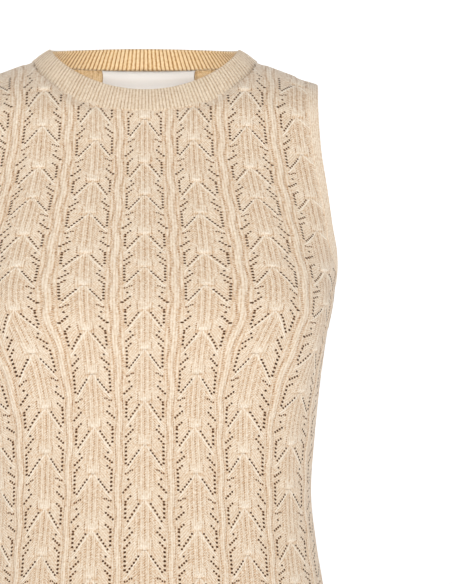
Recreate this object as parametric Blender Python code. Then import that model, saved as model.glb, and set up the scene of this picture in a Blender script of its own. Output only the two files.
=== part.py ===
"""Sleeveless crew-neck pointelle knit top, filled out as it is worn.

Frame: +X to the right of the front view, the front faces -Y, +Z up. The origin is the middle
of the neck opening at the height of its two highest side points, where the wearer carries it.
Front and back are open knitted walls: plain on the inside, with raised ribs between the
motifs and a raised bow bar at the foot of each leaf motif on the outside.
"""

import math

import bmesh
import bpy
import numpy as np

# Driving dimensions, in metres.
WALL = 0.0020
BAND_WALL = 0.0024
LABEL_WALL = 0.0010
SEAM_GAP = 0.0003
YOKE_HEIGHT = -0.060
HEM_TOP = -0.548
HEM_BOTTOM = -0.570

# The neck seam and the neckband's top edge: rounded ovals in plan that dip to the front.
NECK_SEAM = {"half_width": 0.1024, "front": 0.080, "back": 0.078,
             "side_height": -0.010, "front_dip": 0.0485, "back_rise": -0.004, "dip_power": 1.1}
NECK_TOP = {"half_width": 0.0884, "front": 0.0693, "back": 0.0720,
            "side_height": 0.0, "front_dip": 0.0416, "back_rise": 0.0055, "dip_power": 1.5}
NECK_ROUND = 0.87
NECK_RIBS = 176
NECK_RIB_RISE = 0.0008
NECK_INNER_STEP = 4

# The plain body at each height: half width, front and back depth, and how square its section is.
BODY_COLUMNS = ("height", "half_width", "front_depth", "back_depth", "power")
BODY_SECTIONS = (
    (-0.010, 0.1024, 0.022, 0.066, 2.2),
    (-0.020, 0.1290, 0.047, 0.081, 2.2),
    (-0.032, 0.1605, 0.059, 0.089, 2.2),
    (-0.040, 0.1800, 0.066, 0.093, 2.2),
    (-0.050, 0.1920, 0.0735, 0.096, 2.2),
    (-0.060, 0.1950, 0.080, 0.098, 2.2),
    (-0.110, 0.1940, 0.095, 0.105, 2.2),
    (-0.150, 0.1880, 0.108, 0.106, 2.2),
    (-0.180, 0.1825, 0.117, 0.105, 2.2),
    (-0.208, 0.1783, 0.124, 0.103, 2.3),
    (-0.235, 0.1751, 0.128, 0.101, 2.4),
    (-0.265, 0.1690, 0.124, 0.098, 2.4),
    (-0.300, 0.1641, 0.110, 0.093, 2.3),
    (-0.345, 0.1593, 0.097, 0.086, 2.2),
    (-0.410, 0.1547, 0.088, 0.080, 2.2),
    (-0.457, 0.1594, 0.090, 0.086, 2.2),
    (-0.491, 0.1650, 0.094, 0.096, 2.2),
    (-0.530, 0.1710, 0.098, 0.106, 2.2),
    (-0.570, 0.1755, 0.100, 0.112, 2.2),
)

# Half width to the armhole edge, from the shoulder tip down to the underarm.
ARMHOLE_COLUMNS = ("height", "half_width")
ARMHOLE_EDGE = (
    (-0.032, 0.1605),
    (-0.055, 0.1592),
    (-0.089, 0.1610),
    (-0.134, 0.1677),
    (-0.178, 0.1742),
    (-0.200, 0.1770),
    (-0.208, 0.1783),
)
UNDERARM_HEIGHT = -0.208
UNDERARM_TURN = -0.184
UNDERARM_ROUND = 1.6
EDGE_BLEND = 0.040
SHOULDER_ABOVE = -0.043
SHOULDER_PASSES = 8

# How far the first three motif columns lie from the centre line, and how far courses sag there.
MOTIF_COLUMNS = ("height", "first", "second", "third")
MOTIF_LINES = (
    (-0.010, 0.0463, 0.0919, 0.1400),
    (-0.070, 0.0466, 0.0933, 0.1385),
    (-0.110, 0.0478, 0.0960, 0.1460),
    (-0.142, 0.0494, 0.1009, 0.1515),
    (-0.175, 0.0520, 0.1107, 0.1575),
    (-0.205, 0.0541, 0.1175, 0.1600),
    (-0.241, 0.0546, 0.1190, 0.1590),
    (-0.280, 0.0492, 0.1031, 0.1500),
    (-0.314, 0.0470, 0.0938, 0.1430),
    (-0.360, 0.0469, 0.0916, 0.1345),
    (-0.403, 0.0477, 0.0920, 0.1325),
    (-0.451, 0.0490, 0.0945, 0.1345),
    (-0.570, 0.0530, 0.1030, 0.1490),
)
SIDE_REPEAT = 4.15
EDGE_REPEAT = 3.35
NECK_CORNER = 2.14
COURSE_SAG = 0.0014
HEM_SETTLE = 0.080

# The knit repeat holds two bows. Where each repeat starts on the centre line, from the top.
REPEAT_HEIGHTS = (0.037, -0.034, -0.106, -0.171, -0.240, -0.321, -0.411, -0.513, -0.622)
FIRST_REPEAT = -2
BOWS_EVEN = (0.0, 0.447)
BOWS_ODD = (0.240, 0.687)
BOW_FOOT = 0.05
BOW_RISE = 0.0018
BOW_SWELL = 1.5
RIB_RISE = 0.0013
BOW_REACH = 0.15
RIB_START = 0.43
RELIEF_FADE = 0.010
RELIEF_START = 0.2

# The knit columns that a panel has points on, from the centre line out: each bow's two ends,
# each rib's feet and crest, the neck corner, the armhole edge and the side seam.
HALF_COLUMNS = (0.14, 0.42, 0.5, 0.58, 0.86, 1.14, 1.42, 1.5, 1.58, 1.86, 2.0, NECK_CORNER,
                2.42, 2.5, 2.58, 2.86, 3.14, EDGE_REPEAT, 3.5, 3.58, 3.86, SIDE_REPEAT)
SEAM_STEP = math.radians(7)
YOKE_ROWS = 6
YOKE_SLOWING = 2
INNER_ROW_STEP = 4
HEM_CLEARANCE = 0.006
YOKE_CLEARANCE = 0.003
TOP_CLEARANCE = 0.0004
POINT_SPACING = 0.003
COLUMN_STEP = 0.02
ANGLE_STEP = 0.01
SHARP_ANGLE = math.radians(50)
TINY = 1e-6

HEM_WALL = 0.0022
HEM_REPEATS = (0.4, 0.9, 1.4, 1.9, 2.4, 2.8, 3.2, 3.5, 3.8, 4.0, SIDE_REPEAT)
HEM_ROWS = 3
LABEL_GAP = 0.0006
LABEL_REPEATS = (-0.90, -0.58, -0.30, 0.0, 0.30, 0.58, 0.98)
LABEL_TOP = -0.019
LABEL_BOTTOM = -0.048
LABEL_ROWS = 5

FRONT, BACK = -1, 1


def table(columns, rows):
    """A short table as one array for each named column, lowest height first."""
    data = np.array(rows, float)
    data = data[np.argsort(data[:, 0])]
    return {name: data[:, index] for index, name in enumerate(columns)}


BODY = table(BODY_COLUMNS, BODY_SECTIONS)
ARMHOLE = table(ARMHOLE_COLUMNS, ARMHOLE_EDGE)
MOTIFS = table(MOTIF_COLUMNS, MOTIF_LINES)


def smooth(at, places, values):
    """Cubic interpolation that never overshoots: slopes are harmonic means of the chords."""
    at = np.clip(at, places[0], places[-1])
    step = np.diff(places)
    chord = np.diff(values) / step
    before, after = chord[:-1], chord[1:]
    same = before * after > 0
    total = np.where(same, before + after, 1.0)
    inner = np.where(same, 2 * before * after / total, 0.0)
    slope = np.concatenate([chord[:1], inner, chord[-1:]])
    cell = np.clip(np.searchsorted(places, at, side="right") - 1, 0, len(step) - 1)
    part = (at - places[cell]) / step[cell]
    rise = 3 * part**2 - 2 * part**3
    lead = part * (1 - part) ** 2 * step[cell] * slope[cell]
    trail = part**2 * (part - 1) * step[cell] * slope[cell + 1]
    return values[cell] * (1 - rise) + values[cell + 1] * rise + lead + trail


def body(name, height):
    return smooth(height, BODY["height"], BODY[name])


def column_reach(repeat, height):
    """Distance from the centre line, 0 to 1 of the body's half width, of a knit column."""
    height = np.asarray(height, float)
    lines = [np.zeros_like(height)]
    lines += [smooth(height, MOTIFS["height"], MOTIFS[name]) for name in MOTIF_COLUMNS[1:]]
    half_width = body("half_width", height)
    power = body("power", height) / 2
    whole = min(int(repeat), 2)
    if repeat <= 3:
        part = repeat - whole
        reach = lines[whole] * (1 - part) + lines[whole + 1] * part
        return np.clip(reach / half_width, 0, 1)
    third = np.arcsin(np.clip(lines[3] / half_width, 0, 1) ** power)
    edge = smooth(height, ARMHOLE["height"], ARMHOLE["half_width"]) / half_width
    edge = np.arcsin(np.clip(edge, 0, 1) ** power)
    natural = third + (math.pi / 2 - third) * (repeat - 3) / (SIDE_REPEAT - 3)
    if repeat <= EDGE_REPEAT:
        beside_edge = third + (edge - third) * (repeat - 3) / (EDGE_REPEAT - 3)
        share = np.clip((height - UNDERARM_TURN) / EDGE_BLEND + 1, 0, 1)
        natural = natural * (1 - share) + beside_edge * share
    return np.sin(np.clip(natural, 0, math.pi / 2)) ** (1 / power)


def surface(side, repeat, height):
    """The plain cloth: a rounded oval at each height. repeat counts motif columns from the centre."""
    height = np.asarray(height, float)
    reach = column_reach(abs(repeat), height)
    power = body("power", height)
    depth = body("front_depth" if side == FRONT else "back_depth", height)
    x = math.copysign(1, repeat) * reach * body("half_width", height)
    y = side * depth * np.clip(1 - reach**power, 0, 1) ** (1 / power)
    return np.stack([x, y, height], axis=-1)


def neck_ring(ring, angle):
    """A neckline: a full oval in plan, angle 0 at +X and -90 degrees in front."""
    turn = np.sin(angle)
    front = turn < 0
    depth = np.where(front, ring["front"], ring["back"])
    dip = np.abs(turn) ** ring["dip_power"]
    height = ring["side_height"] + np.where(front, -ring["front_dip"], ring["back_rise"]) * dip
    depth = depth * np.sign(turn) * np.abs(turn) ** NECK_ROUND
    return np.stack([ring["half_width"] * np.cos(angle), depth, height], axis=-1)


def unit(vectors):
    return vectors / np.linalg.norm(vectors, axis=-1, keepdims=True)


def neck_frame(angle):
    """At the neck seam: its point, the way down the cloth and the way out of it."""
    point = neck_ring(NECK_SEAM, angle)
    down = unit(point - neck_ring(NECK_TOP, angle))
    tangent = neck_ring(NECK_SEAM, angle + ANGLE_STEP) - neck_ring(NECK_SEAM, angle - ANGLE_STEP)
    out = unit(np.cross(down, tangent))
    down = unit(np.cross(tangent, out))
    return point, down, out


def shoulder_height(half_width):
    """Height of the shoulder line where the body is as wide as this."""
    shoulder = BODY["height"] > SHOULDER_ABOVE
    return float(np.interp(-half_width, -BODY["half_width"][shoulder], BODY["height"][shoulder]))


def centre_height(course):
    """Height on the centre line of a knit course, counted in repeats."""
    counts = np.arange(len(REPEAT_HEIGHTS)) + float(FIRST_REPEAT)
    return smooth(course, counts, np.array(REPEAT_HEIGHTS))


def panel_courses():
    """The courses that a panel has points on: each bow's lower edge and the foot below it."""
    starts = range(FIRST_REPEAT, FIRST_REPEAT + len(REPEAT_HEIGHTS) - 1)
    bows = [start + bow for start in starts for bow in BOWS_EVEN + BOWS_ODD]
    courses = np.array(sorted(bows + [bow + BOW_FOOT for bow in bows], reverse=True))
    level = centre_height(courses)
    return courses[(level > HEM_TOP + HEM_CLEARANCE) & (level < YOKE_HEIGHT - YOKE_CLEARANCE)]


def course_height(course, repeat):
    """Height of a course in a column: it sags towards the sides and runs level at the hem."""
    level = centre_height(course)
    settle = np.clip((level - HEM_TOP) / HEM_SETTLE, 0, 1)
    return level - COURSE_SAG * min(abs(repeat), 3) ** 2 * settle


def relief(repeat, course):
    """How far the outside stands proud: a rib between columns, bows in them."""
    column = round(abs(repeat))
    across = abs(abs(repeat) - column)
    if across > RIB_START:
        return np.full_like(course, RIB_RISE)
    if across > BOW_REACH:
        return np.zeros_like(course)
    bows = BOWS_ODD if column % 2 else BOWS_EVEN
    starts = np.arange(FIRST_REPEAT - 1, FIRST_REPEAT + len(REPEAT_HEIGHTS))
    edges = np.sort(np.concatenate([starts + bow for bow in bows]))
    next_edge = np.searchsorted(edges, course - TINY, side="right")
    upper, lower = edges[next_edge - 1] + BOW_FOOT, edges[next_edge]
    return BOW_RISE * np.clip((course - upper) / (lower - upper), 0, 1) ** BOW_SWELL


def seam_angle(side, repeat):
    """Where a column meets the neck seam, as the seam's angle."""
    if abs(repeat) == NECK_CORNER:
        return 0.0 if repeat > 0 else side * math.pi
    widths = [0] + [MOTIFS[name][-1] for name in MOTIF_COLUMNS[1:]]
    half_width = np.interp(abs(repeat), np.arange(4), widths)
    return side * math.acos(math.copysign(half_width, repeat) / NECK_SEAM["half_width"])


def seam_edge(angle):
    """A panel's edge at the neck seam, a gap away from the band: its point and its way out."""
    point, down, out = neck_frame(np.array(angle))
    if abs(math.sin(angle)) < TINY:
        out = unit(out * np.array([1, 0, 1]))
        return (point + down * SEAM_GAP) * np.array([1, 0, 1]), out
    return point + down * SEAM_GAP, out


def column_top(side, repeat):
    """Where a column ends, at the neck seam, shoulder or armhole: its point and its way out."""
    reach = abs(repeat)
    sign = math.copysign(1, repeat)
    if reach > EDGE_REPEAT:
        share = (reach - EDGE_REPEAT) / (SIDE_REPEAT - EDGE_REPEAT)
        height = UNDERARM_HEIGHT + (UNDERARM_TURN - UNDERARM_HEIGHT) * (1 - share) ** UNDERARM_ROUND
        return surface(side, repeat, height), None
    if reach <= NECK_CORNER:
        return seam_edge(seam_angle(side, repeat))
    height = YOKE_HEIGHT / 2
    for _ in range(SHOULDER_PASSES):
        half_width = abs(surface(side, reach, height)[0])
        height = shoulder_height(half_width)
    run = unit(np.array([ARMHOLE["half_width"][-1] - NECK_SEAM["half_width"], 0,
                         ARMHOLE["height"][-1] - NECK_SEAM["side_height"]]))
    out = np.array([-run[2] * sign, 0, run[0]])
    return np.array([sign * half_width, 0, height]), out


def column_points(side, repeat):
    """One column from the hem up: plain points, ways out, and how proud the outside is."""
    top_point, top_out = column_top(side, repeat)
    top_height = top_point[2]
    courses = panel_courses()
    nominal = NECK_SEAM["side_height"] if abs(repeat) <= NECK_CORNER else top_height
    yoke = 1 - (1 - np.arange(YOKE_ROWS) / YOKE_ROWS) ** YOKE_SLOWING
    yoke = YOKE_HEIGHT + (nominal - YOKE_HEIGHT) * yoke
    heights = np.concatenate([[HEM_TOP], course_height(courses, repeat), yoke])
    rib = RIB_RISE if abs(repeat) % 1 == 0.5 else 0.0
    proud = np.concatenate([[0.0], relief(repeat, courses), np.full(YOKE_ROWS, rib)])
    points = surface(side, repeat, heights)
    apart = np.linalg.norm(points - top_point, axis=1)
    spaced = (apart > POINT_SPACING) | (heights < YOKE_HEIGHT - TINY)
    below = (heights < top_height - TOP_CLEARANCE) & spaced
    points, heights = points[below], heights[below]
    proud = proud[below] * np.clip(apart[below] / RELIEF_FADE - RELIEF_START, 0, 1)
    proud = proud * np.clip((heights - HEM_TOP) / RELIEF_FADE, 0, 1)
    if abs(repeat) >= EDGE_REPEAT:
        open_edge = (heights > UNDERARM_TURN - EDGE_BLEND / 2) | (abs(repeat) == SIDE_REPEAT)
        proud = np.where(open_edge, 0.0, proud)
    sign = math.copysign(1, repeat)
    step = sign * COLUMN_STEP
    inward = surface(side, repeat - step, heights)
    outward = points if abs(repeat) >= EDGE_REPEAT else surface(side, repeat + step, heights)
    points = np.vstack([points, top_point])
    along = np.gradient(points, axis=0)[:-1]
    outs = unit(np.cross((outward - inward) * sign, along) * -side)
    if abs(repeat) == SIDE_REPEAT:
        outs[:, 1] = 0
        points[:, 1] = 0
    outs[0, 2] = 0
    outs = unit(outs)
    outs = np.vstack([outs, outs[-1] if top_out is None else top_out])
    return points, outs, np.append(proud, 0.0)


def stitch(faces, left, right, between=()):
    """Faces between two columns of vertices numbered from the hem; the shorter one's top fans out.

    between holds the vertices of the upper edge from the left column's top to the right one's.
    """
    short, long, edge = left, right, list(between)
    if len(left) > len(right):
        short, long, edge = right, left, edge[::-1]
    last = len(short) - 1
    for row in range(last - 1):
        faces.append((short[row], long[row], long[row + 1], short[row + 1]))
    faces.append((short[last - 1], long[last - 1], short[last]))
    for row in range(last - 1, len(long) - 2):
        faces.append((short[last], long[row], long[row + 1]))
    edge = [short[last], *edge, long[-1]]
    for here, following in zip(edge, edge[1:]):
        faces.append((long[-2], following, here))


def close_rim(faces, outer, inner):
    """A strip between two loops; inner holds a vertex for some outer ones, or None."""
    marks = [index for index, vertex in enumerate(inner) if vertex is not None]
    outer = outer[marks[0]:] + outer[:marks[0]]
    inner = inner[marks[0]:] + inner[:marks[0]]
    current = inner[0]
    for index in range(len(outer)):
        following = (index + 1) % len(outer)
        faces.append((outer[index], current, outer[following]))
        if inner[following] is not None:
            faces.append((outer[following], current, inner[following]))
            current = inner[following]


def boundary_keys(repeats, lengths, armhole_row, seam_steps):
    """The places round a panel's edge: hem, side, armhole, shoulder, neck and back again.

    A place is (column, row), or (column, row, step) between two columns at the neck seam.
    """
    last = len(repeats) - 1
    keys = [(column, 0) for column in range(last + 1)]
    keys += [(last, row) for row in range(1, lengths[last])]
    for column in range(last - 1, -1, -1):
        rows = [lengths[column] - 1]
        if repeats[column] == EDGE_REPEAT:
            rows = list(range(armhole_row, lengths[column]))
        elif repeats[column] == -EDGE_REPEAT:
            rows = list(range(lengths[column] - 1, armhole_row - 1, -1))
        keys += [(column, "seam", step) for step in reversed(range(seam_steps[column]))]
        keys += [(column, row) for row in rows]
    return keys + [(0, row) for row in range(lengths[0] - 2, 0, -1)]


def seam_between(side, left, right):
    """Angles of the extra points on the neck seam between two columns."""
    if max(abs(left), abs(right)) > NECK_CORNER:
        return []
    start, end = seam_angle(side, left), seam_angle(side, right)
    count = math.ceil(abs(end - start) / SEAM_STEP)
    return list(np.linspace(start, end, count + 1)[1:-1])


def make_object(name, points, faces, finish):
    """One named object from points and faces, its faces turned outwards."""
    mesh = bpy.data.meshes.new(name)
    work = bmesh.new()
    vertices = [work.verts.new(point) for point in points]
    for face in faces:
        if len(set(face)) > 2:
            work.faces.new([vertices[index] for index in dict.fromkeys(face)])
    work.normal_update()
    bmesh.ops.recalc_face_normals(work, faces=work.faces)
    bmesh.ops.triangulate(work, faces=work.faces)
    work.to_mesh(mesh)
    work.free()
    mesh.materials.append(finish)
    mesh.shade_smooth()
    mesh.set_sharp_from_angle(angle=SHARP_ANGLE)
    made = bpy.data.objects.new(name, mesh)
    bpy.context.collection.objects.link(made)
    return made


def make_finish(name, colour, roughness):
    finish = bpy.data.materials.new(name)
    finish.use_nodes = True
    shader = finish.node_tree.nodes["Principled BSDF"]
    shader.inputs["Base Color"].default_value = (*colour, 1)
    shader.inputs["Roughness"].default_value = roughness
    return finish


def make_panel(name, side, finish):
    """The front or the back: a relief outside, a plain inside on fewer rows, and the edge between."""
    repeats = [-value for value in reversed(HALF_COLUMNS)] + list(HALF_COLUMNS)
    columns = [column_points(side, repeat) for repeat in repeats]
    lengths = [len(points) for points, _, _ in columns]
    edge_heights = columns[repeats.index(EDGE_REPEAT)][0][:, 2]
    armhole_row = int(np.argmax(edge_heights > UNDERARM_TURN - TINY))
    first_yoke_row = len(panel_courses()) + 1
    inner_rows = set(range(0, first_yoke_row, INNER_ROW_STEP)) | {armhole_row}
    inner_rows |= set(range(first_yoke_row, max(lengths)))
    seams = [seam_between(side, *pair) for pair in zip(repeats, repeats[1:])]
    offset = np.array([0, side * SEAM_GAP / 2, 0])
    vertices, faces, walls = [], [], {}
    for wall in ("outer", "inner"):
        places = walls[wall] = {}
        for column, (points, outs, proud) in enumerate(columns):
            for row in range(lengths[column]):
                if wall == "inner" and row not in inner_rows and row < lengths[column] - 1:
                    continue
                shift = proud[row] if wall == "outer" else -WALL
                places[column, row] = len(vertices)
                vertices.append(points[row] + outs[row] * shift + offset)
        for column, angles in enumerate(seams):
            for step, angle in enumerate(angles):
                point, out = seam_edge(angle)
                places[column, "seam", step] = len(vertices)
                vertices.append(point - out * (0 if wall == "outer" else WALL) + offset)
        for column, angles in enumerate(seams):
            pair = []
            for here, beyond in ((column, column + 1), (column + 1, column)):
                at_armhole = abs(repeats[beyond]) > EDGE_REPEAT == abs(repeats[here])
                top = armhole_row if at_armhole else lengths[here] - 1
                pair.append([places[here, row] for row in range(top + 1) if (here, row) in places])
            stitch(faces, *pair, [places[column, "seam", step] for step in range(len(angles))])
    keys = boundary_keys(repeats, lengths, armhole_row, [len(angles) for angles in seams])
    outer = [walls["outer"][key] for key in keys]
    inner = [walls["inner"].get(key) for key in keys]
    close_rim(faces, outer, inner)
    return make_object(name, vertices, faces, finish)


def make_neckband(name, finish):
    """A strip of fine ribs round the neck, raised on the outside and plain on the inside."""
    count = 2 * NECK_RIBS
    angles = np.arange(count) * 2 * math.pi / count
    seam, _, out = neck_frame(angles)
    top = neck_ring(NECK_TOP, angles)
    proud = out * (np.arange(count) % 2 * NECK_RIB_RISE)[:, None]
    behind = out * BAND_WALL
    vertices = np.vstack([seam + proud, top + proud, top - behind, seam - behind])
    faces = []
    marks = [index % NECK_INNER_STEP == 0 for index in range(count)]
    rings = [[ring * count + index for index in range(count)] for ring in range(4)]
    for index in range(count):
        following = (index + 1) % count
        faces.append((rings[0][index], rings[0][following], rings[1][following], rings[1][index]))
    inner_top = [vertex if marked else None for vertex, marked in zip(rings[2], marks)]
    inner_seam = [vertex if marked else None for vertex, marked in zip(rings[3], marks)]
    close_rim(faces, rings[1], inner_top)
    close_rim(faces, rings[0], inner_seam)
    for index in range(0, count, NECK_INNER_STEP):
        following = (index + NECK_INNER_STEP) % count
        faces.append((rings[2][index], rings[2][following], rings[3][following], rings[3][index]))
    return make_object(name, vertices, faces, finish)


def wall_from_grids(name, outer, inner, finish):
    """A closed wall between two grids of points of the same size."""
    count, rows = outer.shape[:2]
    vertices = np.vstack([outer.reshape(-1, 3), inner.reshape(-1, 3)])
    ids = np.arange(count * rows).reshape(count, rows)
    faces = []
    for grid in (ids, ids + count * rows):
        for column in range(count - 1):
            stitch(faces, list(grid[column]), list(grid[column + 1]))
    edge = list(ids[:, 0]) + list(ids[-1, 1:]) + list(ids[-2::-1, -1]) + list(ids[0, -2:0:-1])
    close_rim(faces, edge, [vertex + count * rows for vertex in edge])
    return make_object(name, vertices, faces, finish)


def level_outs(points, side):
    """Ways out of rows of points that keep level, and straight out at a side seam."""
    across = np.gradient(points, axis=0)
    outs = np.stack([across[..., 1], -across[..., 0], np.zeros(across.shape[:2])], axis=-1) * -side
    outs[[0, -1], :, 1] = 0
    return unit(outs)


def make_hem(name, side, finish):
    """A plain welt that carries one panel's lower edge on."""
    repeats = [-value for value in reversed(HEM_REPEATS)] + list(HEM_REPEATS)
    heights = np.linspace(HEM_BOTTOM, HEM_TOP - SEAM_GAP, HEM_ROWS)
    points = np.array([surface(side, repeat, heights) for repeat in repeats])
    points[[0, -1], :, 1] = 0
    outs = level_outs(points, side)
    points = points + np.array([0, side * SEAM_GAP / 2, 0])
    return wall_from_grids(name, points, points - outs * HEM_WALL, finish)


def make_label(name, finish):
    """A blank strip of woven tape on the inside of the back, just below the neckband."""
    heights = np.linspace(LABEL_BOTTOM, LABEL_TOP, LABEL_ROWS)
    points = np.array([surface(BACK, repeat, heights) for repeat in LABEL_REPEATS])
    across, along = np.gradient(points, axis=0), np.gradient(points, axis=1)
    outs = unit(np.cross(along, across))
    near = points - outs * (WALL + LABEL_GAP)
    return wall_from_grids(name, near, near - outs * LABEL_WALL, finish)


def main():
    for old in list(bpy.data.objects):
        bpy.data.objects.remove(old, do_unlink=True)
    knit = make_finish("beige pointelle knit", (0.74, 0.60, 0.45), 0.9)
    rib = make_finish("beige rib knit", (0.72, 0.58, 0.43), 0.9)
    tape = make_finish("off-white woven tape", (0.85, 0.80, 0.72), 0.7)
    top = bpy.data.objects.new("knit_top", None)
    bpy.context.collection.objects.link(top)
    pieces = [
        make_panel("front_panel", FRONT, knit),
        make_panel("back_panel", BACK, knit),
        make_neckband("neckband", rib),
        make_hem("hem_front", FRONT, rib),
        make_hem("hem_back", BACK, rib),
        make_label("neck_label", tape),
    ]
    for piece in pieces:
        piece.parent = top


main()
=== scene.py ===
"""A sleeveless crew-neck pointelle knit top, filled out as it is worn, on a pale studio floor."""

import math

import bpy
import numpy as np
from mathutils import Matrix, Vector


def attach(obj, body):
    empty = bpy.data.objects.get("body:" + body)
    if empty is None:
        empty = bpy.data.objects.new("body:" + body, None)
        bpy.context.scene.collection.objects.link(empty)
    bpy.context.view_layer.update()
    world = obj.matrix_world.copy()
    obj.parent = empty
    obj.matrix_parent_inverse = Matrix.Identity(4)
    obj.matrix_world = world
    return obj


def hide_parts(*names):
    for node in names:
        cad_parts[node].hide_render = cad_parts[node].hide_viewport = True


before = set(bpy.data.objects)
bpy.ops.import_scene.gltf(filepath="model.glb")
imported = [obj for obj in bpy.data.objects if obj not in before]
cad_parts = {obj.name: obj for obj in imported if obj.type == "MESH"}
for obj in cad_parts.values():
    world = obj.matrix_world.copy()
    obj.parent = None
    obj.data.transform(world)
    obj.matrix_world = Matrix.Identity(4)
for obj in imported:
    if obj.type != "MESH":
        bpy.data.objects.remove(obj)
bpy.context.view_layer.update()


# ------------------------------------------------------------
# Front and back panels. Each is one piece of fine beige viscose knit, shaped on the machine:
# motif columns of stacked leaves between smooth raised ribs, with rows of eyelets for veins,
# and a plain border round each armhole that is knitted in one with it.

FRONT, BACK = -1, 1
SIDES = ((FRONT, "front"), (BACK, "back"))

# The body under the cloth, in metres: half width, front and back depth, and squareness.
BODY_COLUMNS = ("height", "half_width", "front_depth", "back_depth", "power")
BODY_SECTIONS = (
    (-0.010, 0.1024, 0.022, 0.066, 2.2),
    (-0.020, 0.1290, 0.047, 0.081, 2.2),
    (-0.032, 0.1605, 0.059, 0.089, 2.2),
    (-0.040, 0.1800, 0.066, 0.093, 2.2),
    (-0.050, 0.1920, 0.0735, 0.096, 2.2),
    (-0.060, 0.1950, 0.080, 0.098, 2.2),
    (-0.110, 0.1940, 0.095, 0.105, 2.2),
    (-0.150, 0.1880, 0.108, 0.106, 2.2),
    (-0.180, 0.1825, 0.117, 0.105, 2.2),
    (-0.208, 0.1783, 0.124, 0.103, 2.3),
    (-0.235, 0.1751, 0.128, 0.101, 2.4),
    (-0.265, 0.1690, 0.124, 0.098, 2.4),
    (-0.300, 0.1641, 0.110, 0.093, 2.3),
    (-0.345, 0.1593, 0.097, 0.086, 2.2),
    (-0.410, 0.1547, 0.088, 0.080, 2.2),
    (-0.457, 0.1594, 0.090, 0.086, 2.2),
    (-0.491, 0.1650, 0.094, 0.096, 2.2),
    (-0.530, 0.1710, 0.098, 0.106, 2.2),
    (-0.570, 0.1755, 0.100, 0.112, 2.2),
)

# Half width to the armhole edge, from the shoulder tip down to the underarm.
ARMHOLE_COLUMNS = ("height", "half_width")
ARMHOLE_EDGE = (
    (-0.032, 0.1605), (-0.055, 0.1592), (-0.089, 0.1610), (-0.134, 0.1677),
    (-0.178, 0.1742), (-0.200, 0.1770), (-0.208, 0.1783),
)

# Distance of the first three motif columns from the centre line, and the share by which the
# motifs draw in towards their own middle there.
MOTIF_COLUMNS = ("height", "first", "second", "third", "draw")
MOTIF_LINES = (
    (-0.010, 0.0444, 0.0912, 0.1400, 0.08),
    (-0.068, 0.0441, 0.0920, 0.1386, 0.08),
    (-0.087, 0.0440, 0.0930, 0.1408, 0.07),
    (-0.111, 0.0450, 0.0950, 0.1450, 0.06),
    (-0.141, 0.0478, 0.1008, 0.1508, 0.07),
    (-0.172, 0.0511, 0.1086, 0.1570, 0.06),
    (-0.203, 0.0536, 0.1150, 0.1635, 0.06),
    (-0.222, 0.0541, 0.1182, 0.1655, 0.08),
    (-0.243, 0.0532, 0.1168, 0.1640, 0.10),
    (-0.260, 0.0512, 0.1093, 0.1605, 0.10),
    (-0.281, 0.0484, 0.0992, 0.1545, 0.09),
    (-0.305, 0.0468, 0.0926, 0.1460, 0.05),
    (-0.329, 0.0455, 0.0888, 0.1390, 0.0),
    (-0.350, 0.0451, 0.0885, 0.1350, -0.02),
    (-0.387, 0.0467, 0.0896, 0.1320, -0.02),
    (-0.420, 0.0475, 0.0904, 0.1322, -0.02),
    (-0.455, 0.0485, 0.0928, 0.1335, -0.02),
    (-0.495, 0.0498, 0.0958, 0.1372, -0.02),
    (-0.570, 0.0525, 0.1012, 0.1475, -0.02),
)
DRAWN_TO = (0.38, 0.45)
ROUND_BELOW = (0.045, 0.095)
SIDE_REPEAT = 4.15
EDGE_REPEAT = 3.35
EDGE_ABOVE, NATURAL_BELOW = -0.184, -0.224
NECK_CORNER = 2.14
SHOULDER_TIP = (0.1605, -0.032)
SHOULDER_ZONE = -0.045
NECK_SIDE_HEIGHT = -0.010

# Heights of the knit courses down four motif columns, counted in repeats of two bows.
COURSE_COLUMNS = ("count", "centre", "first", "second", "third")
COURSE_CHART = (
    (-2, 0.0370, 0.0330, 0.0300, 0.0260),
    (-1, -0.0350, -0.0393, -0.0418, -0.0462),
    (0, -0.1073, -0.1084, -0.1118, -0.1221),
    (1, -0.1723, -0.1740, -0.1727, -0.1894),
    (2, -0.2398, -0.2397, -0.2410, -0.2592),
    (3, -0.3220, -0.3248, -0.3292, -0.3430),
    (4, -0.4117, -0.4166, -0.4206, -0.4320),
    (5, -0.5125, -0.5125, -0.5150, -0.5200),
    (6, -0.6164, -0.6164, -0.6180, -0.6200),
)
HEM_SETTLE = 0.080
HEM_TOP = -0.548
YOKE_COURSE = -0.64
TOP_COURSE = -1.68
YOKE_ROUND = 1.5


def table(columns, rows):
    """A short table as one array for each named column, lowest height first."""
    data = np.array(rows, float)
    data = data[np.argsort(data[:, 0])]
    return {name: data[:, index] for index, name in enumerate(columns)}


BODY = table(BODY_COLUMNS, BODY_SECTIONS)
ARMHOLE = table(ARMHOLE_COLUMNS, ARMHOLE_EDGE)
MOTIFS = table(MOTIF_COLUMNS, MOTIF_LINES)
CHART = table(COURSE_COLUMNS, COURSE_CHART)


def smooth(at, places, values):
    """Cubic interpolation that never overshoots: slopes are harmonic means of the chords."""
    at = np.clip(at, places[0], places[-1])
    step = np.diff(places)
    chord = np.diff(values) / step
    before, after = chord[:-1], chord[1:]
    same = before * after > 0
    total = np.where(same, before + after, 1.0)
    inner = np.where(same, 2 * before * after / total, 0.0)
    slope = np.concatenate([chord[:1], inner, chord[-1:]])
    cell = np.clip(np.searchsorted(places, at, side="right") - 1, 0, len(step) - 1)
    part = (at - places[cell]) / step[cell]
    rise = 3 * part**2 - 2 * part**3
    lead = part * (1 - part) ** 2 * step[cell] * slope[cell]
    trail = part**2 * (part - 1) * step[cell] * slope[cell + 1]
    return values[cell] * (1 - rise) + values[cell + 1] * rise + lead + trail


def body(name, height):
    return smooth(height, BODY["height"], BODY[name])


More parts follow.
